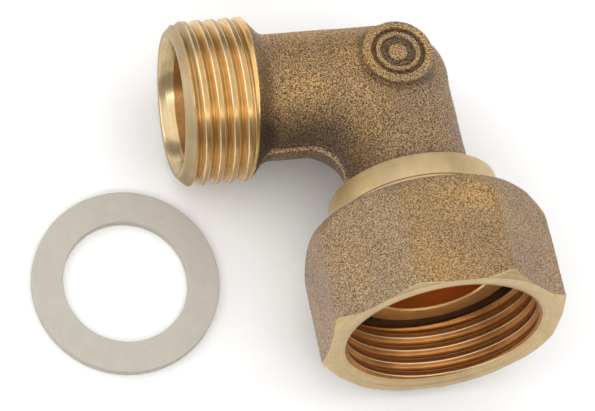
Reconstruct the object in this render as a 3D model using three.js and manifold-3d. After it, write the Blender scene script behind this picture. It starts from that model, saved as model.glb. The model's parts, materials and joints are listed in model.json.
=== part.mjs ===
// A brass elbow union: a cast elbow with a male pipe thread on one limb and a loose octagonal
// union nut on the other, with the ring that holds the nut on and the flat gasket that seals it.
// Millimetres, +Z up. The union lies on its side: the back edge of the nut's lowest flat and
// the crests of the male thread touch the table, and the gasket lies flat beside it.
import * as THREE from 'three';
import { mergeVertices } from 'three/addons/utils/BufferGeometryUtils.js';
import Module from 'manifold-3d';

const wasm = await Module();
wasm.setup();

// ---- driving dimensions -------------------------------------------------------------------
// The two limbs' axes cross at one point, the hub. "Reach" is a distance from the hub along a limb.
const THREAD_PITCH = 25.4 / 14;      // both threads are 14 turns to the inch

const MALE = {
  majorRadius: 20.955 / 2,           // half-inch parallel pipe thread
  minorRadius: 18.631 / 2,
  endReach: 28.2,                    // flat end face of the limb
  threadReach: 18.95,                // where the thread runs out
  neckReach: 16.9,                   // where the flare meets the cast neck
  flareFootRise: 0.5,                // the flare starts out shallower than it ends
  flareFootLength: 0.6,
  flareBelowCrests: 0.1,
  flareRimLength: 0.2,
  endChamfer: 1.1,
  threadPhase: 0.49,                 // in turns: where round the limb the thread starts
};
const MALE_BORE = { radius: 7.7, mouthRadius: 8.55, mouthDepth: 1.8, floorReach: 11 };

const NECK = { maleRadius: 8.0, nutRadius: 7.85, boreRadius: 6.3, bendRadius: 12.5 };

const SPIGOT = {
  radius: 10.82,
  backReach: 16.2,
  seatReach: 28.3,                   // the sealing seat, where the gasket goes
  boreRadius: 8.0,
  boreFloorReach: 17,
  backBevel: 0.4,
  seatBevel: 0.3,
  grooveRadius: 10.0,
  grooveStart: 25.0,
  grooveEnd: 27.0,
};

const RING = { wireRadius: 0.72, centreRadius: 10.87, reach: 26.0, gapDegrees: 16 };

const NUT = {
  acrossFlats: 29.2,
  sides: 8,
  backReach: 21.6,
  mouthReach: 36.3,
  backRimRadius: 14.4,               // the back end is turned round, and grows to the corners
  backCrownLength: 4.4,
  mouthRimRadius: 14.75,             // a turned chamfer takes the corners off at the mouth
  mouthChamfer: 1.0,
  lipRadius: 11.15,                  // the hole that the spigot passes through
  lipThickness: 3.3,
  reliefRadius: 12.9,                // plain clearance between the lip and the thread
  threadStart: 28.2,
  threadMinorRadius: 24.117 / 2,     // three-quarter-inch parallel pipe thread
  threadMajorRadius: 26.441 / 2,
  countersinkRadius: 13.5,
  countersinkDepth: 0.6,
  threadPhase: 0.28,
};

const BOSS = { radius: 4.55, topHeight: 8.75, rimWidth: 0.7, dishDepth: 0.45, centreRadius: 2.9 };

const GASKET = { outerRadius: 12.0, innerRadius: 8.0, thickness: 1.5 };
const GASKET_FROM_HUB = { x: -35.7, y: -19.9 };   // where the gasket lies on the table

const OVERSHOOT = 1;                 // cutters run this far past the faces that they cut
const JOIN_OVERLAP = 0.2;            // joined solids run this far into each other
const ROUND_SEGMENTS = 48;
const THREAD_SEGMENTS = 36;
const THREAD_ROWS_PER_TURN = 6;

const cornerRadius = NUT.acrossFlats / 2 / Math.cos(Math.PI / NUT.sides);
const outlineRadius = cornerRadius + 0.05;   // the nut's turned outline just clears its corners

// ---- colours ------------------------------------------------------------------------------
const castBrass = new THREE.MeshStandardMaterial({ color: 0x7d6238, roughness: 0.55, metalness: 0.9 });
const nutBrass = new THREE.MeshStandardMaterial({ color: 0x8d6d3c, roughness: 0.5, metalness: 0.9 });
const ringSteel = new THREE.MeshStandardMaterial({ color: 0x8f8a80, roughness: 0.35, metalness: 1.0 });
const gasketFibre = new THREE.MeshStandardMaterial({ color: 0xcfcfbe, roughness: 0.85, metalness: 0.0 });

// ---- solids -------------------------------------------------------------------------------
function toSolid(geometry) {
  const plain = geometry.index ? geometry.toNonIndexed() : geometry.clone();
  plain.deleteAttribute('normal');
  plain.deleteAttribute('uv');
  const merged = mergeVertices(plain, 1e-4);
  return new wasm.Manifold(new wasm.Mesh({
    numProp: 3,
    vertProperties: new Float32Array(merged.attributes.position.array),
    triVerts: new Uint32Array(merged.index.array),
  }));
}

function toGeometry(solid) {
  const mesh = solid.getMesh();
  const geometry = new THREE.BufferGeometry();
  geometry.setAttribute('position', new THREE.BufferAttribute(new Float32Array(mesh.vertProperties), 3));
  geometry.setIndex(new THREE.BufferAttribute(new Uint32Array(mesh.triVerts), 1));
  geometry.computeVertexNormals();
  return geometry;
}

// Turned shapes: each profile is a list of [radius, reach], from the axis back to the axis.
// The nut's limb runs along -Y and the male limb along -X.
function turnedGeometry(profile) {
  const points = profile.map(([radius, reach]) => new THREE.Vector2(radius, -reach)).reverse();
  return new THREE.LatheGeometry(points, ROUND_SEGMENTS);
}

function nutLimbSolid(profile) {
  return toSolid(turnedGeometry(profile));
}

function maleLimbSolid(profile) {
  return toSolid(turnedGeometry(profile).rotateZ(-Math.PI / 2));
}

// A screw thread is a fine cylinder whose points move in and out along a helix.
function threadGeometry(startReach, endReach, radiusAt) {
  const length = endReach - startReach;
  const rows = Math.round((length / THREAD_PITCH) * THREAD_ROWS_PER_TURN);
  const geometry = new THREE.CylinderGeometry(1, 1, length, THREAD_SEGMENTS, rows);
  geometry.translate(0, -(startReach + endReach) / 2, 0);
  const position = geometry.attributes.position;
  for (let i = 0; i < position.count; i += 1) {
    const x = position.getX(i);
    const z = position.getZ(i);
    const isOnAxis = Math.hypot(x, z) < 0.5;
    if (!isOnAxis) {
      const reach = -position.getY(i);
      const radius = radiusAt(reach, Math.atan2(z, x));
      position.setX(i, x * radius);
      position.setZ(i, z * radius);
    }
  }
  return geometry;
}

// 0 at the root of the thread and 1 at its crest, with both rounded; right-handed.
function threadWave(reach, angle, phase) {
  const turns = reach / THREAD_PITCH - angle / (2 * Math.PI) + phase;
  return 0.5 - 0.5 * Math.cos(2 * Math.PI * turns);
}

function maleThreadSolid() {
  const depth = MALE.majorRadius - MALE.minorRadius;
  const radiusAt = (reach, angle) => {
    const thread = MALE.minorRadius + depth * threadWave(reach, angle, MALE.threadPhase);
    const chamfer = MALE.majorRadius - MALE.endChamfer + (MALE.endReach - reach);
    return Math.min(thread, chamfer);
  };
  const geometry = threadGeometry(MALE.threadReach, MALE.endReach, radiusAt);
  return toSolid(geometry.rotateZ(-Math.PI / 2));
}

function nutThreadCutter() {
  const depth = NUT.threadMajorRadius - NUT.threadMinorRadius;
  const countersinkSlope = (NUT.countersinkRadius - NUT.threadMinorRadius) / NUT.countersinkDepth;
  const radiusAt = (reach, angle) => {
    const thread = NUT.threadMinorRadius + depth * threadWave(reach, angle, NUT.threadPhase);
    const countersink = NUT.countersinkRadius - (NUT.mouthReach - reach) * countersinkSlope;
    return Math.max(thread, countersink);
  };
  return toSolid(threadGeometry(NUT.threadStart, NUT.mouthReach + OVERSHOOT, radiusAt));
}

// The middle line of the bend, a quarter circle that is tangent to both limbs.
class BendPath extends THREE.Curve {
  getPoint(t, target = new THREE.Vector3()) {
    const angle = (t * Math.PI) / 2;
    const x = -NECK.bendRadius * (1 - Math.cos(angle));
    const y = -NECK.bendRadius * (1 - Math.sin(angle));
    return target.set(x, y, 0);
  }
}

function bendSolid() {
  const section = new THREE.Shape().absarc(0, 0, NECK.nutRadius, 0, 2 * Math.PI);
  const options = { extrudePath: new BendPath(), steps: 12, bevelEnabled: false, curveSegments: 24 };
  return toSolid(new THREE.ExtrudeGeometry(section, options));
}

function elbowOutside() {
  const flareRadius = MALE.majorRadius - MALE.flareBelowCrests;
  const flareEnd = MALE.threadReach + MALE.flareRimLength + 2 * JOIN_OVERLAP;
  const maleLimb = maleLimbSolid([
    [0, 0],
    [NECK.maleRadius, 0],
    [NECK.maleRadius, MALE.neckReach],
    [NECK.maleRadius + MALE.flareFootRise, MALE.neckReach + MALE.flareFootLength],
    [flareRadius, MALE.threadReach],
    [flareRadius, MALE.threadReach + MALE.flareRimLength],
    [MALE.minorRadius, flareEnd],
    [0, flareEnd],
  ]);
  const nutLimb = nutLimbSolid([
    [0, 0],
    [NECK.nutRadius, 0],
    [NECK.nutRadius, SPIGOT.backReach],
    [SPIGOT.radius - SPIGOT.backBevel, SPIGOT.backReach],
    [SPIGOT.radius, SPIGOT.backReach + SPIGOT.backBevel],
    [SPIGOT.radius, SPIGOT.grooveStart],
    [SPIGOT.grooveRadius, SPIGOT.grooveStart],
    [SPIGOT.grooveRadius, SPIGOT.grooveEnd],
    [SPIGOT.radius, SPIGOT.grooveEnd],
    [SPIGOT.radius, SPIGOT.seatReach - SPIGOT.seatBevel],
    [SPIGOT.radius - SPIGOT.seatBevel, SPIGOT.seatReach],
    [0, SPIGOT.seatReach],
  ]);
  const heel = toSolid(new THREE.SphereGeometry(NECK.maleRadius, 32, 20));
  return maleLimb.add(nutLimb).add(heel).add(bendSolid()).add(maleThreadSolid());
}

function bossSolid() {
  const dishFloor = BOSS.topHeight - BOSS.dishDepth;
  const profile = [
    [0, 0],
    [BOSS.radius, 0],
    [BOSS.radius, BOSS.topHeight],
    [BOSS.radius - BOSS.rimWidth, BOSS.topHeight],
    [BOSS.radius - BOSS.rimWidth, dishFloor],
    [BOSS.centreRadius, dishFloor],
    [BOSS.centreRadius, BOSS.topHeight],
    [0, BOSS.topHeight],
  ].map(([radius, height]) => new THREE.Vector2(radius, height));
  const geometry = new THREE.LatheGeometry(profile, 32);
  return toSolid(geometry.rotateX(Math.PI / 2));
}

function elbowBore() {
  const maleBore = maleLimbSolid([
    [0, 0],
    [NECK.boreRadius, 0],
    [NECK.boreRadius, MALE_BORE.floorReach - 2],
    [MALE_BORE.radius, MALE_BORE.floorReach],
    [MALE_BORE.radius, MALE.endReach - MALE_BORE.mouthDepth],
    [MALE_BORE.mouthRadius, MALE.endReach],
    [MALE_BORE.mouthRadius, MALE.endReach + OVERSHOOT],
    [0, MALE.endReach + OVERSHOOT],
  ]);
  const nutBore = nutLimbSolid([
    [0, 0],
    [NECK.boreRadius, 0],
    [NECK.boreRadius, SPIGOT.boreFloorReach - 2],
    [SPIGOT.boreRadius, SPIGOT.boreFloorReach],
    [SPIGOT.boreRadius, SPIGOT.seatReach + OVERSHOOT],
    [0, SPIGOT.seatReach + OVERSHOOT],
  ]);
  const corner = toSolid(new THREE.SphereGeometry(NECK.boreRadius, 32, 20));
  return maleBore.add(nutBore).add(corner);
}

function elbowSolid() {
  return elbowOutside().add(bossSolid()).subtract(elbowBore());
}

// The nut's turned outline: an elliptical crown at the back and a small chamfer at the mouth.
function nutOutline() {
  const outline = [[0, NUT.backReach]];
  const crownSteps = 6;
  const rise = outlineRadius - NUT.backRimRadius;
  for (let step = 0; step <= crownSteps; step += 1) {
    const share = step / crownSteps;
    const radius = NUT.backRimRadius + rise * (1 - (1 - share) ** 2);
    outline.push([radius, NUT.backReach + NUT.backCrownLength * share]);
  }
  outline.push([outlineRadius, NUT.mouthReach - NUT.mouthChamfer]);
  outline.push([NUT.mouthRimRadius, NUT.mouthReach]);
  outline.push([0, NUT.mouthReach]);
  return outline;
}

function nutSolid() {
  const length = NUT.mouthReach - NUT.backReach;
  const prismLength = length + 2 * OVERSHOOT;
  const prism = new THREE.CylinderGeometry(cornerRadius, cornerRadius, prismLength, NUT.sides, 1);
  prism.rotateY(Math.PI / NUT.sides);
  prism.translate(0, -(NUT.backReach + NUT.mouthReach) / 2, 0);
  const lipReach = NUT.backReach + NUT.lipThickness;
  const passage = nutLimbSolid([
    [0, NUT.backReach - OVERSHOOT],
    [NUT.lipRadius, NUT.backReach - OVERSHOOT],
    [NUT.lipRadius, lipReach],
    [NUT.reliefRadius, lipReach],
    [NUT.reliefRadius, NUT.threadStart + JOIN_OVERLAP],
    [0, NUT.threadStart + JOIN_OVERLAP],
  ]);
  return toSolid(prism)
    .intersect(nutLimbSolid(nutOutline()))
    .subtract(passage)
    .subtract(nutThreadCutter());
}

// The wire ring is split, so that it can be opened and sprung into its groove.
class RingPath extends THREE.Curve {
  getPoint(t, target = new THREE.Vector3()) {
    const gap = THREE.MathUtils.degToRad(RING.gapDegrees);
    const angle = gap / 2 + t * (2 * Math.PI - gap);
    const x = RING.centreRadius * Math.cos(angle);
    const z = RING.centreRadius * Math.sin(angle);
    return target.set(x, -RING.reach, z);
  }
}

function ringSolid() {
  const section = new THREE.Shape().absarc(0, 0, RING.wireRadius, 0, 2 * Math.PI);
  const options = { extrudePath: new RingPath(), steps: 44, bevelEnabled: false, curveSegments: 8 };
  return toSolid(new THREE.ExtrudeGeometry(section, options));
}

function gasketSolid() {
  const half = GASKET.thickness / 2;
  const profile = [
    [GASKET.innerRadius, -half],
    [GASKET.outerRadius, -half],
    [GASKET.outerRadius, half],
    [GASKET.innerRadius, half],
    [GASKET.innerRadius, -half],
  ].map(([radius, height]) => new THREE.Vector2(radius, height));
  return toSolid(new THREE.LatheGeometry(profile, ROUND_SEGMENTS).rotateX(Math.PI / 2));
}

// ---- assembly -----------------------------------------------------------------------------
function part(name, solid, material) {
  const mesh = new THREE.Mesh(toGeometry(solid), material);
  mesh.name = name;
  return mesh;
}

// The nut's lowest flat and the male thread's crests touch the table together, which tips the
// nut's mouth up by this angle about the male limb.
function restTilt() {
  const flatRadius = NUT.acrossFlats / 2;
  const rise = outlineRadius - NUT.backRimRadius;
  const share = 1 - Math.sqrt(1 - (flatRadius - NUT.backRimRadius) / rise);
  const edgeReach = NUT.backReach + NUT.backCrownLength * share;
  const edgeAngle = Math.atan2(edgeReach, flatRadius);
  return Math.acos(MALE.majorRadius / Math.hypot(flatRadius, edgeReach)) - edgeAngle;
}

const union = new THREE.Group();
union.rotation.x = -restTilt();
union.add(part('elbow_body', elbowSolid(), castBrass));
union.add(part('retaining_ring', ringSolid(), ringSteel));
union.add(part('union_nut', nutSolid(), nutBrass));

const gasket = part('flat_gasket', gasketSolid(), gasketFibre);
gasket.position.set(GASKET_FROM_HUB.x, GASKET_FROM_HUB.y, 0);

const assembly = new THREE.Group();
assembly.add(union, gasket);

// Everything stands on z = 0, with the origin under the middle of the whole footprint.
assembly.updateMatrixWorld(true);
const unionBox = new THREE.Box3().setFromObject(union, true);
union.position.z = -unionBox.min.z;
gasket.position.z = GASKET.thickness / 2;
assembly.updateMatrixWorld(true);
const wholeBox = new THREE.Box3().setFromObject(assembly, true);
const footprintCentre = wholeBox.getCenter(new THREE.Vector3());
assembly.position.set(-footprintCentre.x, -footprintCentre.y, 0);
assembly.updateMatrixWorld(true);

export default assembly;
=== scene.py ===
"""The looks of a cast brass elbow union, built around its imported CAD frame."""
import json
import math

import bmesh
import bpy
import numpy as np
from mathutils import Matrix, Vector, noise


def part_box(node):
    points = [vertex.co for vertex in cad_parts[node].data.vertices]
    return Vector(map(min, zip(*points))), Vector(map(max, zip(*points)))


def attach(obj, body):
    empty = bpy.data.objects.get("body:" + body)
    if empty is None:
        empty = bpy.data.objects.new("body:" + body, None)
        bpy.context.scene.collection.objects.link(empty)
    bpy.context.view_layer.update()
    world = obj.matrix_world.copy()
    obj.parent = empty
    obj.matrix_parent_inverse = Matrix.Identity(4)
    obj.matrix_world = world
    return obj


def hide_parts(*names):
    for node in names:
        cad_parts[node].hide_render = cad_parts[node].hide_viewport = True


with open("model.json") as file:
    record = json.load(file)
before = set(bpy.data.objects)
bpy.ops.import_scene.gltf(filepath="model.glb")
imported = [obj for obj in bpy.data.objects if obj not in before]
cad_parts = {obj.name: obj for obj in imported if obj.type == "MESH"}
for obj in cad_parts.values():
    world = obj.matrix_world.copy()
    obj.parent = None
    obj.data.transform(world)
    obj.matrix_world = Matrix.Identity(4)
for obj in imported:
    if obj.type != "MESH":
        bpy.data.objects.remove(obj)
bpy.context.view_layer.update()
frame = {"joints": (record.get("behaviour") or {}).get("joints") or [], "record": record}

# ---- the union's own axes, from the frame ---------------------------------------------------
# Shapes are made in millimetres in the union's own axes: a runs along the male limb, b along
# the nut's limb and n square to both, all from the hub, where the limbs' axes cross. The nut's
# swivel joint sits on the nut's axis at the retaining ring, whose reach places the hub.
MM = 0.001
RING_REACH = 26.0
JOINTS = {joint["name"]: joint for joint in frame["joints"]}
MOUNTS = {mount["name"]: mount for mount in frame["record"]["mounts"]}
MALE_AXIS = Vector(MOUNTS["male_end_face"]["axis"]).normalized()
NUT_AXIS = Vector(JOINTS["nut_swivel"]["axis"]).normalized()
SIDE_AXIS = MALE_AXIS.cross(NUT_AXIS).normalized()
HUB = Vector(JOINTS["nut_swivel"]["pos_m"]) - NUT_AXIS * RING_REACH * MM
TO_FRAME = Matrix.Translation(HUB) @ Matrix(
    (MALE_AXIS * MM, NUT_AXIS * MM, SIDE_AXIS * MM)
).transposed().to_4x4()

# ---- sizes, in millimetres ------------------------------------------------------------------
# Radii are from a limb's axis and reaches are along it from the hub. The male thread's "minor"
# and the nut's "thread_major" are shallower than the standard form, as worn threads are. A
# "phase" is in turns of its thread, and each of the nut's flats has its own painted reflection,
# a tone from greyed to golden.
PITCH = 25.4 / 14
MALE = {
    "major": 20.955 / 2, "minor": 18.631 / 2 + 0.5, "end": 28.2, "mouth": 8.55, "bore": 7.7,
    "taper": 1.8, "neck": 8.0, "flare_start": 16.9, "flare_end": 18.95, "chamfer": 1.1,
    "phase": -0.01,
}
SPIGOT = {
    "radius": 10.82, "back": 16.2, "step": 19.3, "step_depth": 0.12, "seat": 28.3, "bore": 8.0,
    "groove_start": 25.0, "groove_end": 27.0, "groove_radius": 10.0,
}
NECK = {"nut_side": 7.85, "bore": 6.3, "bend": 12.5}
NUT = {
    "sides": 8, "flat": 14.6, "back": 21.6, "mouth": 36.3, "back_rim": 14.4, "crown": 4.4,
    "mouth_rim": 14.75, "mouth_chamfer": 1.0, "lip_hole": 11.15, "lip_end": 24.9,
    "relief": 12.9, "thread_start": 28.2, "thread_minor": 24.117 / 2,
    "thread_major": 26.441 / 2 - 0.76, "countersink": 13.5, "countersink_depth": 0.6,
    "phase": 0.03, "flat_painted_reflections": (0.0, 0.35, 0.95, 0.4, 0.6, 0.2, 0.7, 0.4),
}
BOSS = {"radius": 4.55, "top": 8.75, "depth": 0.5}
GASKET = {"outer": 12.0, "inner": 8.0, "thickness": 1.5}
RING = {"wire": 0.72, "centre": 10.87, "gap": math.radians(16)}

PARTING = 0.2          # the height along n where the mould parted
MOULD_SLIP = 0.2       # how far the lower half of the mould had slipped along a and along b
NECK_OVERLAP = 0.5     # how far each neck runs past the hub
BORE_OVERLAP = 0.4     # how far each bore runs past the hub
CENTRE = 0.01          # the radius where a turned solid's outline starts and ends
SKIN_VOXEL = 0.13      # the size of the voxels that the rough casting is rebuilt from
SKIN_SEGMENTS = 96     # round what is rebuilt from voxels
FINE_SEGMENTS = 240    # round what is turned
THREAD_SEGMENTS = 288  # round the male thread
NUT_SEGMENTS = 384     # round the nut, and a multiple of twice its sides

TAU = 2 * math.pi
NUT_STEP = TAU / NUT["sides"]
NUT_CORNER = NUT["flat"] / math.cos(NUT_STEP / 2)


# ---- mesh building --------------------------------------------------------------------------
def new_object(name, points, faces):
    """A mesh object whose faces all look outwards."""
    mesh = bpy.data.meshes.new(name)
    mesh.from_pydata([tuple(p) for p in points], [], faces)
    mesh.validate()
    piece = bpy.data.objects.new(name, mesh)
    bpy.context.scene.collection.objects.link(piece)
    face_outwards(piece)
    return piece


def face_outwards(piece):
    """Turns the faces of closed solids outwards."""
    mesh = bmesh.new()
    mesh.from_mesh(piece.data)
    bmesh.ops.recalc_face_normals(mesh, faces=mesh.faces)
    mesh.to_mesh(piece.data)
    mesh.free()


def grid_faces(rows, columns, wrap_rows):
    """Quads over a rows x columns grid whose columns always close on themselves."""
    faces = []
    for i in range(rows if wrap_rows else rows - 1):
        here, there = i * columns, ((i + 1) % rows) * columns
        for j in range(columns):
            k = (j + 1) % columns
            faces.append((here + j, here + k, there + k, there + j))
    return faces


def ring_of_profiles(name, grid):
    """A closed solid, from a closed profile (rows) carried round an axis (columns)."""
    rows, columns, _ = grid.shape
    return new_object(name, grid.reshape(-1, 3), grid_faces(rows, columns, True))


def capped_tube(name, grid):
    """A closed solid, from a tube of points (rows x columns) with a fan over each end."""
    rows, columns, _ = grid.shape
    points = list(grid.reshape(-1, 3)) + [grid[0].mean(0), grid[-1].mean(0)]
    faces = grid_faces(rows, columns, False)
    first_pole, last_pole = rows * columns, rows * columns + 1
    last_row = (rows - 1) * columns
    for j in range(columns):
        k = (j + 1) % columns
        faces.append((first_pole, k, j))
        faces.append((last_pole, last_row + j, last_row + k))
    return new_object(name, points, faces)


def turned(name, profile, axis, segments):
    """A solid turned about an axis of the union; profile is (radius, reach)."""
    rows = np.array(profile, float)
    angle = np.linspace(0, TAU, segments, endpoint=False)
    u = rows[:, 0, None] * np.cos(angle)
    v = rows[:, 0, None] * np.sin(angle)
    return capped_tube(name, limb_points(axis, rows[:, 1, None], u, v))


def limb_points(axis, reach, u, v):
    """Points (a, b, n) at a reach along an axis and u, v across it, right-handed with it."""
    reach, u, v = np.broadcast_arrays(reach, u, v)
    if axis == "male":
        return np.stack([reach, u, v], -1)
    if axis == "nut":
        return np.stack([v, reach, u], -1)
    return np.stack([u, v, reach], -1)


def apply_modifiers(piece):
    """Puts what a piece's modifiers make of it in place of its mesh."""
    graph = bpy.context.evaluated_depsgraph_get()
    mesh = bpy.data.meshes.new_from_object(piece.evaluated_get(graph))
    piece.modifiers.clear()
    piece.data = mesh


def boolean(piece, other, operation):
    """Joins or cuts a piece with another solid, and removes the other."""
    modifier = piece.modifiers.new(operation, "BOOLEAN")
    modifier.operation = operation
    modifier.solver = "MANIFOLD"
    modifier.object = other
    apply_modifiers(piece)
    bpy.data.objects.remove(other)


def remesh(piece, voxel):
    """Rebuilds a piece from voxels, which blends its solids into one skin of even faces."""
    modifier = piece.modifiers.new("remesh", "REMESH")
    modifier.mode = "VOXEL"
    modifier.voxel_size = voxel
    modifier.use_smooth_shade = True
    apply_modifiers(piece)


def vertices_of(piece):
    points = np.empty(len(piece.data.vertices) * 3)
    piece.data.vertices.foreach_get("co", points)
    return points.reshape(-1, 3)


def set_vertices(piece, points):
    piece.data.vertices.foreach_set("co", points.astype(np.float32).ravel())
    piece.data.update()


def smooth_step(x, low, high):
    """0 below low, 1 above high, and eased between them."""
    t = np.clip((x - low) / (high - low), 0, 1)
    return t * t * (3 - 2 * t)


def soft_min(x, y, blend):
    """The lower of two radii, rounded over where they meet."""
    h = np.clip(0.5 + 0.5 * (y - x) / blend, 0, 1)
    return y * (1 - h) + x * h - blend * h * (1 - h)


def noise_at(points, scale, seed):
    """Smooth noise in about -1 to 1 at each point, with features of about the scale given."""
    shift = Vector((seed * 17.3, seed * 5.9, seed * 11.7))
    return np.array([noise.noise(Vector(p) / scale + shift) for p in points])


# ---- threads --------------------------------------------------------------------------------
def thread_wave(reach, angle, phase):
    """A right-hand pipe thread's form, 1 along the crest and 0 at the root, both eased."""
    turns = (reach / PITCH - angle / TAU + phase) % 1.0
    return smooth_step(np.abs(turns - 0.5) * 2, 0.04, 0.76)


# ---- the elbow ------------------------------------------------------------------------------
def flare_lean(angle):
    """How far the cast flare's edge leans along the male limb, at an angle from b to n."""
    return 0.32 * np.cos(angle + 0.5)


def cast_skin():
    """Both necks, the bend and the heel as one rough casting, with its boss and parting line."""
    skin = male_neck()
    boolean(skin, nut_neck(), "UNION")
    boolean(skin, heel_ball("heel", MALE["neck"]), "UNION")
    boolean(skin, bend_tube(NECK["nut_side"]), "UNION")
    boolean(skin, boss_disc(), "UNION")
    remesh(skin, SKIN_VOXEL)
    roughen_casting(skin)
    boolean(skin, boss_recess(), "DIFFERENCE")
    boolean(skin, boss_face(), "UNION")
    return skin


def male_neck():
    """The male limb's neck, with the concave flare that runs up behind the thread."""
    neck, start = MALE["neck"], MALE["flare_start"]
    return turned("skin", [
        (CENTRE, -NECK_OVERLAP), (neck, -NECK_OVERLAP), (neck, start - 0.9),
        (neck + 0.08, start - 0.4), (neck + 0.28, start), (neck + 0.65, start + 0.45),
        (neck + 1.15, start + 0.9), (neck + 1.75, start + 1.4),
        (MALE["major"] - 0.1, MALE["flare_end"]), (CENTRE, MALE["flare_end"]),
    ], "male", SKIN_SEGMENTS)


def nut_neck():
    """The nut limb's neck, which ends inside the spigot's collar."""
    radius, end = NECK["nut_side"], SPIGOT["back"] + 1.0
    return turned("nut_neck", [
        (CENTRE, -NECK_OVERLAP), (radius, -NECK_OVERLAP), (radius, end), (CENTRE, end),
    ], "nut", SKIN_SEGMENTS)


def heel_ball(name, radius):
    """A ball round the hub, for the outside of the heel and for the bores' meeting."""
    tilt = np.linspace(0.02, math.pi - 0.02, 48)
    profile = [(radius * math.sin(t), -radius * math.cos(t)) for t in tilt]
    return turned(name, profile, "male", SKIN_SEGMENTS)


def bend_tube(radius):
    """The quarter of a torus that is tangent to both limbs, closed at each end."""
    along = 48
    centre = NECK["bend"]
    angle = np.linspace(0, TAU, SKIN_SEGMENTS, endpoint=False)
    turn = np.linspace(-0.02, math.pi / 2 + 0.02, along)
    distance = centre + radius * np.cos(angle)[None, :]
    a = centre - distance * np.cos(turn)[:, None]
    b = centre - distance * np.sin(turn)[:, None]
    n = np.repeat((radius * np.sin(angle))[None, :], along, 0)
    return capped_tube("bend", np.stack([a, b, n], -1))


def boss_disc():
    """The boss as it is cast, before its face: a plain disc with a little draft."""
    radius, top = BOSS["radius"], BOSS["top"]
    return turned("boss", [
        (CENTRE, 2.0), (radius + 0.25, 2.0), (radius + 0.1, 7.2), (radius, top - 0.25),
        (radius - 0.2, top), (CENTRE, top),
    ], "side", SKIN_SEGMENTS)


def boss_recess():
    """What is cut from the boss, to leave room for its sharper face."""
    radius, low, high = BOSS["radius"] - 0.3, BOSS["top"] - 0.9, BOSS["top"] + 1.0
    return turned("recess", [
        (CENTRE, low), (radius, low), (radius, high), (CENTRE, high),
    ], "side", FINE_SEGMENTS)


def boss_face():
    """The boss's face: a raised rim, a groove, a ring and a plain round pip."""
    radius, top, floor = BOSS["radius"], BOSS["top"], BOSS["top"] - BOSS["depth"]
    corners = [
        (CENTRE, floor - 1.0), (radius - 0.2, floor - 1.0), (radius - 0.2, top - 0.04),
        (radius - 0.3, top), (3.6, top), (3.5, top - 0.08), (3.38, floor), (2.98, floor),
        (2.86, top - 0.1), (2.8, top - 0.03), (2.36, top - 0.03), (2.3, top - 0.1),
        (2.16, floor), (1.4, floor), (1.22, top - 0.2), (1.0, top - 0.06), (CENTRE, top - 0.02),
    ]
    face = turned("boss_face", divided(corners, 0.07), "side", FINE_SEGMENTS)
    points = vertices_of(face)
    distance = np.hypot(points[:, 0], points[:, 1])
    wobble = 1 + (noise_at(points, 0.9, 5) * 0.035 + noise_at(points, 0.3, 6) * 0.02) * (
        1 - smooth_step(distance, radius - 0.5, radius - 0.25)) / np.maximum(distance, 0.6)
    points[:, :2] *= wobble[:, None]
    points[:, 2] += noise_at(points, 5.0, 1) * 0.07 + noise_at(points, 0.34, 3) * 0.035
    set_vertices(face, points)
    return face


def divided(corners, longest):
    """The same open outline, with points added so that no step is much over the longest."""
    outline = [corners[0]]
    for start, end in zip(corners, corners[1:]):
        steps = max(1, round(math.dist(start, end) / longest))
        for step in range(1, steps + 1):
            share = step / steps
            outline.append((start[0] + (end[0] - start[0]) * share,
                            start[1] + (end[1] - start[1]) * share))
    return outline


def roughen_casting(piece):
    """Sand grain, slow lumps, and a step and a fin where the mould parted."""
    points = vertices_of(piece)
    normals = np.empty(len(points) * 3)
    piece.data.vertices.foreach_get("normal", normals)
    normals = normals.reshape(-1, 3)
    lumps = noise_at(points, 5.0, 1) * 0.07 + noise_at(points, 1.3, 2) * 0.025
    grains = noise_at(points, 0.34, 3) * 0.04
    depth = points[:, 2] - PARTING - noise_at(points, 3.0, 4) * 0.15
    fin = np.exp(-(((depth + 0.12) / 0.2) ** 2)) * 0.2
    crevice = np.exp(-(((depth - 0.28) / 0.15) ** 2)) * -0.15
    on_skin = 1 - smooth_step(points[:, 0], MALE["flare_end"] - 0.6, MALE["flare_end"])
    shift = normals * (lumps + grains + (fin + crevice) * on_skin)[:, None]
    lower_half = (1 - smooth_step(depth, -0.1, 0.1)) * on_skin
    shift[:, :2] += MOULD_SLIP * lower_half[:, None]
    lean = flare_lean(np.arctan2(points[:, 2], points[:, 1]))
    shift[:, 0] += lean * smooth_step(points[:, 0], 14.0, 17.0)
    set_vertices(piece, points + shift)


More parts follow.
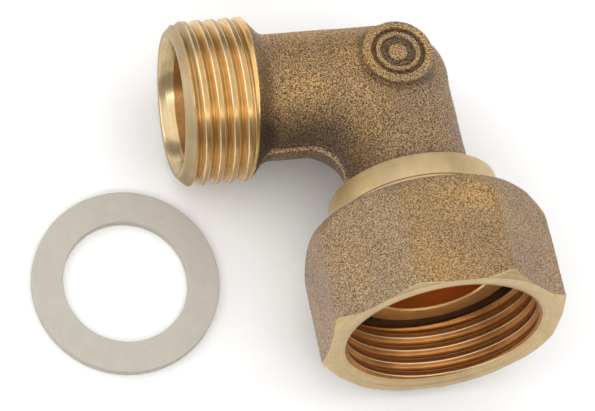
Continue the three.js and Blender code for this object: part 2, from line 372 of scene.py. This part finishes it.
def casting_wear_and_painted_light(points):
    """0 for dark oxide in hollows and for painted shade, 0.5 on open skin, and 1 for edges rubbed
    bright and for painted light.
    """
    a, b, n = points.T
    wear_and_painted_light = np.full(len(points), 0.5)

    # The boss: a bright rim and relief over a dark floor, and a dark line round its foot.
    distance = np.hypot(a, b)
    on_boss = (distance < BOSS["radius"]) & (n > BOSS["top"] - 1.2)
    face = smooth_step(n, BOSS["top"] - 0.5, BOSS["top"] - 0.05)
    wear_and_painted_light = np.where(on_boss, np.where(distance < 3.9, 0.12 + 0.68 * face, 0.72), wear_and_painted_light)
    around = smooth_step(distance, BOSS["radius"] - 0.1, BOSS["radius"] + 0.25)
    around *= 1 - smooth_step(distance, BOSS["radius"] + 0.25, BOSS["radius"] + 1.0)
    wear_and_painted_light -= 0.3 * around * smooth_step(n, 5.0, 7.0)

    # The parting line: painted shade in its crevice, a painted highlight along the fin beside it,
    # and a darker lower half.
    depth = n - PARTING
    wear_and_painted_light -= 0.5 * np.exp(-(((depth - 0.28) / 0.16) ** 2))
    wear_and_painted_light += 0.26 * np.exp(-(((depth + 0.02) / 0.11) ** 2))
    wear_and_painted_light -= 0.14 * (1 - smooth_step(depth, -0.4, -0.1))

    # Painted shade in the corners: up the flare, and against the collar.
    wear_and_painted_light -= 0.24 * smooth_step(a, 15.4, 18.3)
    wear_and_painted_light -= 0.30 * smooth_step(b, 13.8, 16.2)

    # The male neck: painted shade on the nut's side, and painted light on its lit top.
    across = np.degrees(np.arctan2(n, b))
    lower_neck = (1 - smooth_step(across, 15, 60)) * smooth_step(depth, 0.2, 1.2)
    lower_neck *= smooth_step(a, 1.5, 10.0)
    wear_and_painted_light -= 0.34 * lower_neck
    wear_and_painted_light += 0.26 * smooth_step(-b, 2.5, 6.0) * smooth_step(a, 2.0, 8.0)

    # Painted shade on the nut's neck, and a little painted light inside the bend.
    wear_and_painted_light -= 0.13 * smooth_step(b, 3.0, 9.0)
    wear_and_painted_light += 0.04 * smooth_step(a, 1.0, 6.0) * smooth_step(b, 1.0, 6.0)
    return np.clip(wear_and_painted_light, 0, 1)


def casting_tone(points):
    """Greyer down in the bend and towards the nut, and golden along the male neck."""
    a, b, n = points.T
    tone = 0.5 + 0.4 * smooth_step(a, -2.0, 6.0) * smooth_step(n, 1.0, 5.0)
    return np.clip(tone - 0.4 * smooth_step(b, 2.0, 9.0), 0, 1)


def male_end():
    """The turned and threaded end of the male limb."""
    start, end, rows_per_turn = MALE["flare_end"] - 0.9, MALE["end"], 30
    rows = int((end - start) / PITCH * rows_per_turn)
    reach = np.linspace(start, end, rows)[:, None]
    angle = np.linspace(0, TAU, THREAD_SEGMENTS, endpoint=False)[None, :]
    depth = MALE["major"] - MALE["minor"]
    cut = 1 - thread_wave(reach, angle, MALE["phase"])
    cut = cut * smooth_step(reach, MALE["flare_end"] + 0.1, MALE["flare_end"] + 1.0)
    flare = MALE["major"] - 0.65 + (reach - MALE["flare_end"] + 0.5 - flare_lean(angle)) * 1.3
    chamfer = MALE["major"] - MALE["chamfer"] + (end - reach)
    radius = soft_min(MALE["major"] - depth * cut, flare, 0.1)
    radius = soft_min(radius, chamfer + 0 * angle, 0.05)
    return capped_tube("male_end", limb_points(
        "male", reach, radius * np.cos(angle), radius * np.sin(angle)))


def spigot():
    """The collar, with its step, the ring's groove and the sealing seat."""
    radius, back, seat = SPIGOT["radius"], SPIGOT["back"], SPIGOT["seat"]
    step, inner = SPIGOT["step"], SPIGOT["radius"] - SPIGOT["step_depth"]
    groove_start, groove_end = SPIGOT["groove_start"], SPIGOT["groove_end"]
    groove_radius = SPIGOT["groove_radius"]
    return turned("spigot", [
        (CENTRE, back), (radius - 0.25, back), (radius - 0.07, back + 0.07),
        (radius, back + 0.25), (radius, step - 0.04), (inner, step + 0.04),
        (inner, groove_start), (groove_radius, groove_start),
        (groove_radius, groove_end), (radius, groove_end), (radius, seat - 0.2),
        (radius - 0.06, seat - 0.06), (radius - 0.2, seat), (CENTRE, seat),
    ], "nut", FINE_SEGMENTS)


def male_bore():
    """The bore's narrow start, its wide end and the taper in the mouth, run out past the end."""
    narrow, wide, mouth = NECK["bore"], MALE["bore"], MALE["mouth"]
    end, taper = MALE["end"], MALE["taper"]
    return turned("male_bore", [
        (CENTRE, -BORE_OVERLAP), (narrow, -BORE_OVERLAP), (narrow, 9.0), (wide, 11.0),
        (wide, end - taper), (mouth - 0.12, end - 0.25), (mouth + 0.1, end),
        (mouth + 0.1, end + 1.0), (CENTRE, end + 1.0),
    ], "male", FINE_SEGMENTS)


def nut_limb_bore():
    """The bore's narrow start and its wide end, with a bevel at the seat, run out past it."""
    narrow, wide, seat = NECK["bore"], SPIGOT["bore"], SPIGOT["seat"]
    return turned("nut_limb_bore", [
        (CENTRE, -BORE_OVERLAP), (narrow, -BORE_OVERLAP), (narrow, 15.0), (wide, 17.0),
        (wide, seat - 0.2), (wide + 0.2, seat), (wide + 0.2, seat + 1.0),
        (CENTRE, seat + 1.0),
    ], "nut", FINE_SEGMENTS)


def elbow():
    """The casting with its turned ends, bored through both limbs."""
    piece = cast_skin()
    piece.name = "elbow_casting"
    boolean(piece, male_end(), "UNION")
    boolean(piece, spigot(), "UNION")
    water_way = male_bore()
    boolean(water_way, nut_limb_bore(), "UNION")
    boolean(water_way, heel_ball("bore_ball", NECK["bore"]), "UNION")
    boolean(piece, water_way, "DIFFERENCE")
    paint_elbow(piece)
    finish_piece(piece, "elbow", "elbow_body")


def face_data(piece):
    """The centre and the normal of each face."""
    count = len(piece.data.polygons)
    centres = np.empty(count * 3)
    normals = np.empty(count * 3)
    piece.data.polygons.foreach_get("center", centres)
    piece.data.polygons.foreach_get("normal", normals)
    return centres.reshape(-1, 3), normals.reshape(-1, 3)


def set_materials(piece, materials, index):
    """Gives a piece its materials; index is each face's place in their list."""
    piece.data.materials.clear()
    for material in materials:
        piece.data.materials.append(material)
    piece.data.polygons.foreach_set("material_index", index.astype(np.int32))
    piece.data.update()


def paint_elbow(piece):
    """Cast skin outside, turned brass on the threaded end and the spigot, and bare bores."""
    skin, thread, male_face, male_bore_wall, collar, nut_bore_wall, seat, mouth = range(8)
    centre, normal = face_data(piece)
    a, b, n = centre.T
    from_male_axis, from_nut_axis = np.hypot(b, n), np.hypot(a, n)
    index = np.full(len(centre), skin)

    flare_edge = MALE["flare_end"] + flare_lean(np.arctan2(n, b))
    on_male_end = (a > flare_edge - 0.04) & (from_male_axis < 11)
    near_mouth = on_male_end & (a > MALE["end"] - MALE["taper"] - 0.01)
    index[on_male_end] = thread
    index[near_mouth & (normal[:, 0] > 0.55)] = male_face
    index[near_mouth & (from_male_axis < MALE["mouth"] + 0.12)] = mouth
    index[(b > SPIGOT["back"] - 0.02) & (from_nut_axis < 11.2)] = collar

    faces_in = b * normal[:, 1] + n * normal[:, 2] <= 0
    in_male = (a > 0) & (a < MALE["end"] - MALE["taper"]) & faces_in
    in_male &= from_male_axis < MALE["bore"] + 0.05
    faces_in = a * normal[:, 0] + n * normal[:, 2] <= 0
    in_nut = (b > 0) & faces_in & (from_nut_axis < SPIGOT["bore"] + 0.05)
    near_hub = np.linalg.norm(centre, axis=1) < NECK["bore"] + 0.5
    index[in_nut | near_hub] = nut_bore_wall
    index[in_male] = male_bore_wall
    index[(b > SPIGOT["seat"] - 0.25) & (normal[:, 1] > 0.3)] = seat

    set_materials(piece, [
        # The male end's face is the collar's turned brass made darker, a painted shade.
        cast_brass(), turned_brass(), pale_turned_brass("male", 0.72),
        # The male bore is painted darker and the nut limb's bore brighter: painted shade and
        # painted light.
        bore_brass("male", (0.40, 0.205, 0.07), (0.30, 0.145, 0.048)), pale_turned_brass("nut"),
        bore_brass("nut", (0.92, 0.50, 0.17), (0.80, 0.40, 0.12)), seat_brass(),
        mouth_brass(),
    ], index)
    points = vertices_of(piece)
    a, b, n = points.T
    crest = thread_wave(a, np.arctan2(n, b), MALE["phase"])
    on_thread = (a > MALE["flare_end"] + 0.4) & (np.hypot(b, n) > MALE["minor"] - 0.1)
    keep_value(piece, "wear_and_painted_light", np.where(on_thread, crest, casting_wear_and_painted_light(points)))
    keep_value(piece, "tone", casting_tone(points))


def keep_value(piece, name, values):
    """Stores a value from 0 to 1 at each point, for the materials.

    "wear" is how rubbed the skin is, with painted shade and painted light added on the elbow,
    and, on a thread, how near its crest; "tone" runs from a greyed skin to a golden one, and on
    the nut's flats it is a painted reflection.
    """
    attribute = piece.data.attributes.new(name, "FLOAT", "POINT")
    attribute.data.foreach_set("value", values.astype(np.float32))


# ---- the nut --------------------------------------------------------------------------------
NUT_SKIN, NUT_FACE, NUT_THREAD, NUT_RELIEF = range(4)


def nut_radius(reach, angle):
    """The nut's rough outside: eight flats with worn corners, and a rounded back end."""
    off = (angle + NUT_STEP / 2) % NUT_STEP - NUT_STEP / 2
    octagon = NUT["flat"] / np.cos(off)
    softest = np.exp(-(((angle - NUT_STEP * 1.5) / 0.35) ** 2))
    octagon = soft_min(octagon, NUT_CORNER - 0.04 - 0.3 * softest, 0.3 + 1.1 * softest)
    share = np.clip((reach - NUT["back"]) / NUT["crown"], 0, 1)
    crown = NUT["back_rim"] + (NUT_CORNER + 0.3 - NUT["back_rim"]) * (1 - (1 - share) ** 2)
    return soft_min(octagon, crown, 0.3)


def nut_outside(angle):
    """Rows (reach, radius, material) from the back rim, over the flats, to the mouth's rim."""
    back, mouth, bevel = NUT["back"], NUT["mouth"], 0.35
    rim = nut_radius(back + bevel, angle)
    rows = []
    for t in np.linspace(0, math.pi / 2, 6):
        reach = back + bevel - bevel * math.cos(t)
        rows.append((reach, rim - bevel + bevel * math.sin(t), NUT_SKIN))
    for reach in np.linspace(back + bevel + 0.1, mouth - 1.3, 93):
        rows.append((reach, nut_radius(reach, angle), NUT_SKIN))
    slope = (NUT_CORNER - NUT["mouth_rim"]) / NUT["mouth_chamfer"]
    for reach in np.linspace(mouth - 1.27, mouth, 30):
        cone = NUT["mouth_rim"] + (mouth - reach) * slope
        rows.append((reach, np.minimum(nut_radius(reach, angle), cone), NUT_SKIN))
    return rows


def nut_mouth(rim):
    """Rows across the flat mouth face, from its rim in to the countersink."""
    mouth, edge = NUT["mouth"], 0.06
    rows = [(mouth - 0.05, rim, NUT_SKIN), (mouth, rim - edge, NUT_SKIN)]
    for share in np.linspace(0.04, 1, 10):
        radius = (rim - edge) * (1 - share) + (NUT["countersink"] + 0.08) * share
        rows.append((mouth, radius, NUT_FACE))
    rows.append((mouth - 0.08, NUT["countersink"], NUT_FACE))
    return rows


def nut_thread(angle):
    """Rows back along the thread, which starts in a countersink and fades into the relief."""
    mouth, start, relief = NUT["mouth"], NUT["thread_start"], NUT["relief"]
    minor, major, rows_per_turn = NUT["thread_minor"], NUT["thread_major"], 26
    slope = (NUT["countersink"] - minor) / NUT["countersink_depth"]
    rows = []
    for reach in np.linspace(mouth - 0.16, start, int((mouth - start) / PITCH * rows_per_turn)):
        thread = major - (major - minor) * thread_wave(reach, TAU / 4 - angle, NUT["phase"])
        fade = smooth_step(reach, start - 0.2, start + 0.5)
        thread = relief + (thread - relief) * fade
        cone = NUT["countersink"] - (mouth - reach) * slope
        material = NUT_FACE if mouth - reach < 0.4 else NUT_THREAD
        rows.append((reach, np.maximum(thread, cone), material))
    return rows


def nut_lip():
    """Rows along the relief, down the lip that rides on the spigot, and out over the back."""
    back, lip, hole, relief = NUT["back"], NUT["lip_end"], NUT["lip_hole"], NUT["relief"]
    rows = [(reach, relief, NUT_RELIEF)
            for reach in np.linspace(NUT["thread_start"] - 0.2, lip + 0.3, 8)]
    rows += [
        (lip, relief - 0.3, NUT_RELIEF), (lip, hole + 0.1, NUT_FACE), (lip - 0.1, hole, NUT_FACE),
        (back + 0.2, hole, NUT_FACE), (back, hole + 0.2, NUT_FACE),
    ]
    for share in np.linspace(0.15, 0.9, 6):
        rows.append((back, hole + 0.2 + (NUT["back_rim"] - hole - 0.8) * share, NUT_SKIN))
    return rows


def nut():
    """One closed profile of rows, carried round the nut's axis."""
    angle = np.linspace(0, TAU, NUT_SEGMENTS, endpoint=False)
    outside = nut_outside(angle)
    _, rim, _ = outside.pop()
    rows = outside + nut_mouth(rim) + nut_thread(angle) + nut_lip()
    across = np.zeros(NUT_SEGMENTS)
    reach = np.array([row[0] + across for row in rows])
    radius = np.array([row[1] + across for row in rows])
    grid = limb_points("nut", reach, radius * np.sin(angle), radius * np.cos(angle))
    piece = ring_of_profiles("nut_forging", grid)
    roughen_nut(piece)
    paint_nut(piece, np.repeat([row[2] for row in rows], NUT_SEGMENTS))
    finish_piece(piece, "nut", "union_nut")


def paint_nut(piece, index):
    """Forged skin outside, and turned brass on the mouth, its chamfer and the inside."""
    centre, normal = face_data(piece)
    on_chamfer = (centre[:, 1] > NUT["mouth"] - 1.3) & (normal[:, 1] > 0.3)
    index[on_chamfer & (index == NUT_SKIN)] = NUT_FACE
    set_materials(piece, [nut_brass(), pale_turned_brass("nut"), thread_brass(),
                          relief_brass()], index)
    points = vertices_of(piece)
    a, b, n = points.T
    crest = thread_wave(b, np.arctan2(a, n), NUT["phase"])
    on_thread = (np.hypot(a, n) < NUT["thread_major"] + 0.1) & (b > NUT["thread_start"] + 0.3)
    keep_value(piece, "wear_and_painted_light", np.where(on_thread, crest, nut_wear(points)))
    # Each flat gets its own tone, a painted reflection from greyed to golden.
    flat = np.round(np.arctan2(n, a) / NUT_STEP).astype(int) % NUT["sides"]
    keep_value(piece, "tone", np.array(NUT["flat_painted_reflections"])[flat])


def nut_wear(points):
    """Plain skin, with one patch near the back end rubbed brighter, as wrenches leave it."""
    place, spread, reach, length = math.radians(104), math.radians(7), NUT["back"] + 3.4, 2.4
    around = np.arctan2(points[:, 2], points[:, 0]) - place
    along = points[:, 1] - reach
    patch = np.exp(-((around / spread) ** 2) - (along / length) ** 2)
    return 0.5 + 0.34 * patch * smooth_step(noise_at(points, 1.2, 13), -0.4, 0.2)


def roughen_nut(piece):
    """Slow lumps and grain on the flats, fading out before the turned ends."""
    points = vertices_of(piece)
    radius = np.hypot(points[:, 0], points[:, 2])
    outside = smooth_step(radius, 13.9, 14.3) * (1 - smooth_step(points[:, 1], 34.9, 36.0))
    outside *= smooth_step(points[:, 1], NUT["back"], NUT["back"] + 0.3)
    lumps = noise_at(points, 4.0, 11) * 0.05 + noise_at(points, 0.5, 12) * 0.03
    away = points * np.array([1.0, 0.0, 1.0]) / np.maximum(radius, 0.1)[:, None]
    set_vertices(piece, points + away * (lumps * outside)[:, None])


# ---- the ring and the gasket ----------------------------------------------------------------
def wire_ring():
    """A split ring of round wire in the spigot's groove, with its cut ends rounded."""
    span = np.linspace(RING["gap"] / 2, TAU - RING["gap"] / 2, 180)
    angle = np.linspace(0, TAU, 20, endpoint=False)
    end_round = RING["wire"] / RING["centre"] * 0.4
    span = np.concatenate([[span[0] - end_round], span, [span[-1] + end_round]])
    wire = np.full(len(span), RING["wire"])
    wire[[0, -1]] = RING["wire"] * 0.6
    radius = RING["centre"] + wire[:, None] * np.cos(angle)
    reach = RING_REACH + wire[:, None] * np.sin(angle)
    grid = limb_points("nut", reach, radius * np.sin(span)[:, None],
                       radius * np.cos(span)[:, None])
    piece = capped_tube("wire_ring", grid)
    set_materials(piece, [spring_wire()], np.zeros(len(piece.data.polygons)))
    finish_piece(piece, "nut_ring", "retaining_ring")


def gasket_profile():
    """The gasket's section as (radius, height), with each corner a small arc."""
    half, edge = GASKET["thickness"] / 2, 0.12
    inner, outer = GASKET["inner"] + edge, GASKET["outer"] - edge
    profile = []
    for quarter, (radius, side, far) in enumerate([
            (outer, 1, inner), (inner, 1, None), (inner, -1, outer), (outer, -1, None)]):
        for t in np.linspace(0, math.pi / 2, 5):
            turn = quarter * math.pi / 2 + t
            profile.append((radius + edge * math.cos(turn),
                            side * (half - edge) + edge * math.sin(turn)))
        if far is not None:
            for share in np.linspace(0.1, 0.9, 9):
                profile.append((radius + (far - radius) * share, side * half))
    return profile


def gasket():
    """A ring cut from sheet, with faintly rounded edges, where its CAD solid lies."""
    low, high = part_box("flat_gasket")
    centre = (low + high) / 2
    rows = np.array(gasket_profile())
    angle = np.linspace(0, TAU, FINE_SEGMENTS, endpoint=False)
    grid = limb_points("side", rows[:, 1, None], rows[:, 0, None] * np.cos(angle),
                       rows[:, 0, None] * np.sin(angle))
    piece = ring_of_profiles("gasket_sheet_ring", grid)
    points = vertices_of(piece)
    keep_coordinates(piece, points)
    set_vertices(piece, points * MM + np.array(centre))
    set_materials(piece, [gasket_fibre()], np.zeros(len(piece.data.polygons)))
    piece.data.shade_smooth()
    piece.data.set_sharp_from_angle(angle=math.radians(40))
    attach(piece, "gasket")
    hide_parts("flat_gasket")


def keep_coordinates(piece, points):
    """Stores each point's place in the union's own axes, in millimetres, for the materials."""
    attribute = piece.data.attributes.new("limb", "FLOAT_VECTOR", "POINT")
    attribute.data.foreach_set("vector", points.astype(np.float32).ravel())


def finish_piece(piece, body, node):
    """Moves a piece from the union's own axes into the frame, and ties it to its CAD node."""
    keep_coordinates(piece, vertices_of(piece))
    piece.data.transform(TO_FRAME)
    piece.data.shade_smooth()
    piece.data.set_sharp_from_angle(angle=math.radians(38))
    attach(piece, body)
    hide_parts(node)


# ---- materials ------------------------------------------------------------------------------
class Nodes:
    """A short way to write a node tree."""

    def __init__(self, name):
        self.material = bpy.data.materials.new(name)
        self.material.use_nodes = True
        self.tree = self.material.node_tree
        self.shader = self.tree.nodes["Principled BSDF"]

    def add(self, kind, **settings):
        node = self.tree.nodes.new(kind)
        for key, value in settings.items():
            setattr(node, key, value)
        return node

    def link(self, start, end):
        self.tree.links.new(start, end)

    def coordinates(self):
        """The place (a, b, n) in the union's own axes."""
        return self.add("ShaderNodeAttribute", attribute_name="limb").outputs["Vector"]

    def wear_and_painted_light(self):
        return self.add("ShaderNodeAttribute", attribute_name="wear_and_painted_light").outputs["Fac"]

    def tone(self):
        return self.add("ShaderNodeAttribute", attribute_name="tone").outputs["Fac"]

    def noise(self, scale, detail, roughness, vector=None):
        """Noise over the coordinates in millimetres, so the scale is in features per mm."""
        node = self.add("ShaderNodeTexNoise")
        node.inputs["Scale"].default_value = scale
        node.inputs["Detail"].default_value = detail
        node.inputs["Roughness"].default_value = roughness
        self.link(vector or self.coordinates(), node.inputs["Vector"])
        return node.outputs["Fac"]

    def ramp(self, factor, stops):
        """A colour ramp through stops, each a place from 0 to 1 and a colour."""
        node = self.add("ShaderNodeValToRGB")
        ramp = node.color_ramp
        while len(ramp.elements) < len(stops):
            ramp.elements.new(0.5)
        for element, (place, colour) in zip(ramp.elements, stops):
            element.position = place
            element.color = (*colour, 1.0)
        self.link(factor, node.inputs["Fac"])
        return node.outputs["Color"]

    def mix(self, factor, first, second, mode="MIX"):
        """A colour mix; each input is a number, a colour or another node's output."""
        node = self.add("ShaderNodeMix", data_type="RGBA", blend_type=mode)
        for value, place in ((factor, 0), (first, 6), (second, 7)):
            if isinstance(value, (int, float)):
                node.inputs[place].default_value = value
            elif isinstance(value, tuple):
                node.inputs[place].default_value = (*value, 1.0)
            else:
                self.link(value, node.inputs[place])
        return node.outputs[2]

    def range(self, value, low, high, from_low=0.0, from_high=1.0):
        """The value carried from its own range onto low to high."""
        node = self.add("ShaderNodeMapRange")
        node.inputs["From Min"].default_value = from_low
        node.inputs["From Max"].default_value = from_high
        node.inputs["To Min"].default_value = low
        node.inputs["To Max"].default_value = high
        self.link(value, node.inputs["Value"])
        return node.outputs["Result"]

    def math(self, operation, first, second):
        node = self.add("ShaderNodeMath", operation=operation)
        for value, place in ((first, 0), (second, 1)):
            if isinstance(value, (int, float)):
                node.inputs[place].default_value = value
            else:
                self.link(value, node.inputs[place])
        return node.outputs["Value"]

    def bump(self, height, strength, distance):
        """Distance is in millimetres."""
        node = self.add("ShaderNodeBump")
        node.inputs["Strength"].default_value = strength
        node.inputs["Distance"].default_value = distance * MM
        self.link(height, node.inputs["Height"])
        self.link(node.outputs["Normal"], self.shader.inputs["Normal"])

    def finish(self, colour, roughness, metallic=1.0):
        self.link(colour, self.shader.inputs["Base Color"])
        self.link(roughness, self.shader.inputs["Roughness"])
        self.shader.inputs["Metallic"].default_value = metallic
        return self.material


def turning_marks(nodes, axis, scale):
    """Fine grooves round a limb's axis, from a noise that only changes along and out from it."""
    split = nodes.add("ShaderNodeSeparateXYZ")
    nodes.link(nodes.coordinates(), split.inputs["Vector"])
    a, b, n = split.outputs
    along, across = (a, b) if axis == "male" else (b, a)
    square = nodes.math("ADD", nodes.math("MULTIPLY", across, across),
                        nodes.math("MULTIPLY", n, n))
    radius = nodes.math("POWER", square, 0.5)
    join = nodes.add("ShaderNodeCombineXYZ")
    nodes.link(along, join.inputs[0])
    nodes.link(radius, join.inputs[1])
    return nodes.noise(scale, 2.0, 0.6, join.outputs["Vector"])


def grainy_brass(name, dark, middle, light, grain_scale, patch_scale):
    """Sand-cast skin: dark oxide in the pits, and brass showing on the grains."""
    nodes = Nodes(name)
    grains = nodes.noise(grain_scale, 1.5, 0.55)
    fine = nodes.noise(grain_scale * 2.1, 2.0, 0.6)
    both = nodes.mix(0.35, grains, fine)
    colour = nodes.ramp(both, [(0.39, dark), (0.48, middle), (0.61, light)])
    patches = nodes.noise(patch_scale, 3.0, 0.55)
    shade = nodes.ramp(patches, [(0.35, (0.88, 0.89, 0.97)), (0.5, (0.99, 0.98, 0.99)),
                                 (0.65, (1.09, 1.05, 0.94))])
    colour = nodes.mix(1.0, colour, shade, "MULTIPLY")
    # Dark where oxide gathers and bright on rubbed edges; on the elbow it also carries painted
    # shade and painted light.
    rubbed = nodes.ramp(nodes.wear_and_painted_light(), [(0.0, (0.28, 0.26, 0.25)), (0.5, (0.95, 0.95, 0.95)),
                                       (1.0, (1.35, 1.32, 1.25))])
    colour = nodes.mix(1.0, colour, rubbed, "MULTIPLY")
    # The tone tints the skin; on the nut each flat's tone is a painted reflection.
    tint = nodes.ramp(nodes.tone(), [(0.0, (1.06, 1.10, 1.42)), (0.5, (0.98, 0.97, 0.98)),
                                     (1.0, (1.02, 0.96, 0.83))])
    colour = nodes.mix(1.0, colour, tint, "MULTIPLY")
    nodes.bump(both, 1.0, 0.14)
    return nodes.finish(colour, nodes.range(grains, 0.66, 0.42, 0.3, 0.7), 0.45)


def cast_brass():
    """The elbow's rough skin."""
    return grainy_brass("cast_brass_skin", (0.05, 0.03, 0.015), (0.24, 0.145, 0.064),
                        (0.62, 0.42, 0.195), 5.5, 0.16)


def nut_brass():
    """The nut's rough skin, more even than the elbow's."""
    return grainy_brass("nut_brass_skin", (0.105, 0.068, 0.036), (0.30, 0.197, 0.096),
                        (0.54, 0.38, 0.20), 5.5, 0.13)


def thread_painted_shading(nodes, root, flank, crest):
    """A thread's painted shading, its brightness from root to crest; brighter shades are paler
    too.
    """
    places = (0.0, 0.14, 0.3, 0.6, 0.8, 1.0)
    levels = (root, (root + flank) / 2, flank, flank, (flank + crest) / 2, crest)
    return nodes.ramp(nodes.wear_and_painted_light(), [(place, (level, level ** 1.08, level ** 1.3))
                                     for place, level in zip(places, levels)])


def machined(name, axis, light, deep, roughness, marks_depth=0.012, metallic=1.0, edges=None,
             form=None):
    """Turned brass, stained from light to deep, with marks round an axis.

    A thread also has edges, the colour of thin painted highlight lines along its crests, and
    form,
    its painted shading: the brightness at root, flank and crest, in that order.
    """
    nodes = Nodes(name)
    marks = turning_marks(nodes, axis, 5.0)
    stain = nodes.noise(0.5, 4.0, 0.6)
    colour = nodes.mix(nodes.range(stain, 0.0, 1.0, 0.35, 0.7), light, deep)
    cuts = turning_marks(nodes, axis, 11.0)
    fine = nodes.ramp(cuts, [(0.32, (0.84, 0.83, 0.81)), (0.5, (1.0, 1.0, 1.0)),
                             (0.68, (1.1, 1.1, 1.1))])
    colour = nodes.mix(1.0, colour, fine, "MULTIPLY")
    if edges:
        # Painted shading across the thread's form, from root to crest.
        colour = nodes.mix(1.0, colour, thread_painted_shading(nodes, *form), "MULTIPLY")
        # Thin painted highlight lines along the edges of the crests.
        line = nodes.ramp(nodes.wear_and_painted_light(), [(0.84, (0, 0, 0)), (0.90, (1, 1, 1)),
                                         (0.96, (1, 1, 1)), (1.0, (0, 0, 0))])
        colour = nodes.mix(line, colour, edges)
    nodes.bump(marks, 0.7, marks_depth)
    low, high = roughness
    return nodes.finish(colour, nodes.range(marks, low, high, 0.3, 0.7), metallic)


def turned_brass():
    """The male thread, with painted highlight lines along its crests and painted shading that
    lightens its flanks and darkens its roots.
    """
    return machined("turned_brass_thread", "male", (0.57, 0.36, 0.138), (0.47, 0.285, 0.10),
                    (0.24, 0.36), metallic=0.85, edges=(0.80, 0.71, 0.54),
                    form=(0.74, 1.42, 0.86))


def pale_turned_brass(axis, shade=1.0):
    """Faces turned with a broad tool: the collar, the nut's mouth and the male limb's end. A
    shade below 1 makes a darker copy, as painted shade.
    """
    light, deep = Vector((0.585, 0.435, 0.237)) * shade, Vector((0.505, 0.367, 0.187)) * shade
    return machined(f"turned_brass_face_{axis}_{shade:.2f}", axis, tuple(light), tuple(deep),
                    (0.36, 0.50), 0.018, 0.7)


def mouth_brass():
    """The polished taper in the male mouth."""
    return machined("turned_brass_mouth", "male", (0.69, 0.53, 0.305), (0.56, 0.42, 0.23),
                    (0.22, 0.32), metallic=0.88)


def bore_brass(axis, light, deep):
    """The bored water way, in colours given per limb: darker in the male limb as painted shade,
    brighter in the nut's limb as painted light.
    """
    return machined("turned_brass_bore_" + axis, axis, light, deep, (0.3, 0.45))


def seat_brass():
    """The sealing seat, which the gasket bears on."""
    return machined("turned_brass_seat", "nut", (0.85, 0.59, 0.26), (0.73, 0.47, 0.185),
                    (0.3, 0.42), metallic=0.85)


def thread_brass():
    """The thread inside the nut, duller and browner than the male one, with painted highlight
    lines along its crests and painted shading that lightens its roots and darkens its crests.
    """
    return machined("turned_brass_nut_thread", "nut", (0.51, 0.225, 0.062),
                    (0.385, 0.163, 0.04), (0.32, 0.44), 0.03, 0.7,
                    edges=(0.78, 0.58, 0.37), form=(1.3, 0.85, 0.66))


def relief_brass():
    """The plain clearance behind the nut's thread."""
    return machined("turned_brass_relief", "nut", (0.50, 0.31, 0.17), (0.38, 0.23, 0.13),
                    (0.3, 0.45), 0.015)


def spring_wire():
    return machined("drawn_spring_wire", "nut", (0.62, 0.60, 0.55), (0.48, 0.46, 0.42),
                    (0.25, 0.4), 0.006)


def gasket_fibre():
    """Pressed fibre sheet: nearly plain, with faint flecks and a slight mottle."""
    nodes = Nodes("pressed_fibre_sheet")
    mottle = nodes.noise(0.5, 4.0, 0.6)
    flecks = nodes.noise(5.0, 2.0, 0.7)
    colour = nodes.ramp(mottle, [(0.3, (0.45, 0.42, 0.365)), (0.7, (0.49, 0.46, 0.40))])
    shade = nodes.ramp(flecks, [(0.25, (0.86, 0.85, 0.82)), (0.45, (1.0, 1.0, 1.0))])
    colour = nodes.mix(0.6, colour, shade, "MULTIPLY")
    nodes.bump(flecks, 0.4, 0.03)
    return nodes.finish(colour, nodes.range(flecks, 0.75, 0.9), 0.0)


# ---- stage, lights and camera ---------------------------------------------------------------
def union_vector(a, b, n):
    """A direction in the frame from its parts along the union's own axes."""
    return MALE_AXIS * a + NUT_AXIS * b + SIDE_AXIS * n


def make_camera():
    """Looks at the union from its nut's side and from above, as the photograph does."""
    data = bpy.data.cameras.new("camera")
    data.lens = 185.4
    data.sensor_width = 36.0
    camera = bpy.data.objects.new("camera", data)
    bpy.context.scene.collection.objects.link(camera)
    camera.location = HUB + union_vector(98.957, 196.281, 328.133) * MM
    forward = union_vector(-0.21921, -0.46955, -0.85526)
    up = union_vector(-0.08848, -0.8634, 0.49669)
    right = forward.cross(up).normalized()
    up = right.cross(forward).normalized()
    camera.rotation_mode = "QUATERNION"
    camera.rotation_quaternion = Matrix((right, up, -forward)).transposed().to_quaternion()
    data.clip_start, data.clip_end = 0.01, 20
    bpy.context.scene.camera = camera


def make_floor():
    """White paper, well past the edges of the picture."""
    size = 3.0
    floor = new_object("floor", [(-size, -size, 0), (size, -size, 0), (size, size, 0),
                                 (-size, size, 0)], [(0, 1, 2, 3)])
    nodes = Nodes("floor_paper")
    shade = nodes.noise(40.0, 2.0, 0.5)
    colour = nodes.ramp(shade, [(0.0, (0.93, 0.93, 0.93)), (1.0, (0.96, 0.96, 0.96))])
    floor.data.materials.append(nodes.finish(colour, nodes.range(shade, 0.8, 0.9), 0.0))


def area_light(name, position, target, size, power):
    """A soft box that faces the target; size is its width and height, in metres."""
    data = bpy.data.lights.new(name, "AREA")
    data.shape = "RECTANGLE"
    data.size, data.size_y = size
    data.energy = power
    light = bpy.data.objects.new(name, data)
    light.location = position
    direction = Vector(target) - Vector(position)
    light.rotation_mode = "QUATERNION"
    light.rotation_quaternion = direction.to_track_quat("-Z", "Y")
    bpy.context.scene.collection.objects.link(light)


def make_lights():
    """A white studio: soft boxes above, behind and to both sides, and a darker room in front."""
    world = bpy.data.worlds.new("studio")
    bpy.context.scene.world = world
    world.use_nodes = True
    background = world.node_tree.nodes["Background"]
    background.inputs["Color"].default_value = (1.0, 0.98, 0.95, 1)
    background.inputs["Strength"].default_value = 0.27
    area_light("above", (0.0, 0.4, 1.1), (0.0, 0.4, 0.0), (3.0, 2.2), 25.5)
    area_light("left", (-1.6, 0.3, 0.45), HUB, (1.6, 0.8), 8.0)
    area_light("right", (1.6, 0.3, 0.45), HUB, (1.6, 0.8), 3.4)
    area_light("front", (0.0, -0.62, 0.80), HUB, (1.6, 0.06), 3.4)


# ---- the scene ------------------------------------------------------------------------------
bpy.context.scene.view_settings.view_transform = "Standard"
make_camera()
make_floor()
make_lights()
elbow()
nut()
wire_ring()
gasket()
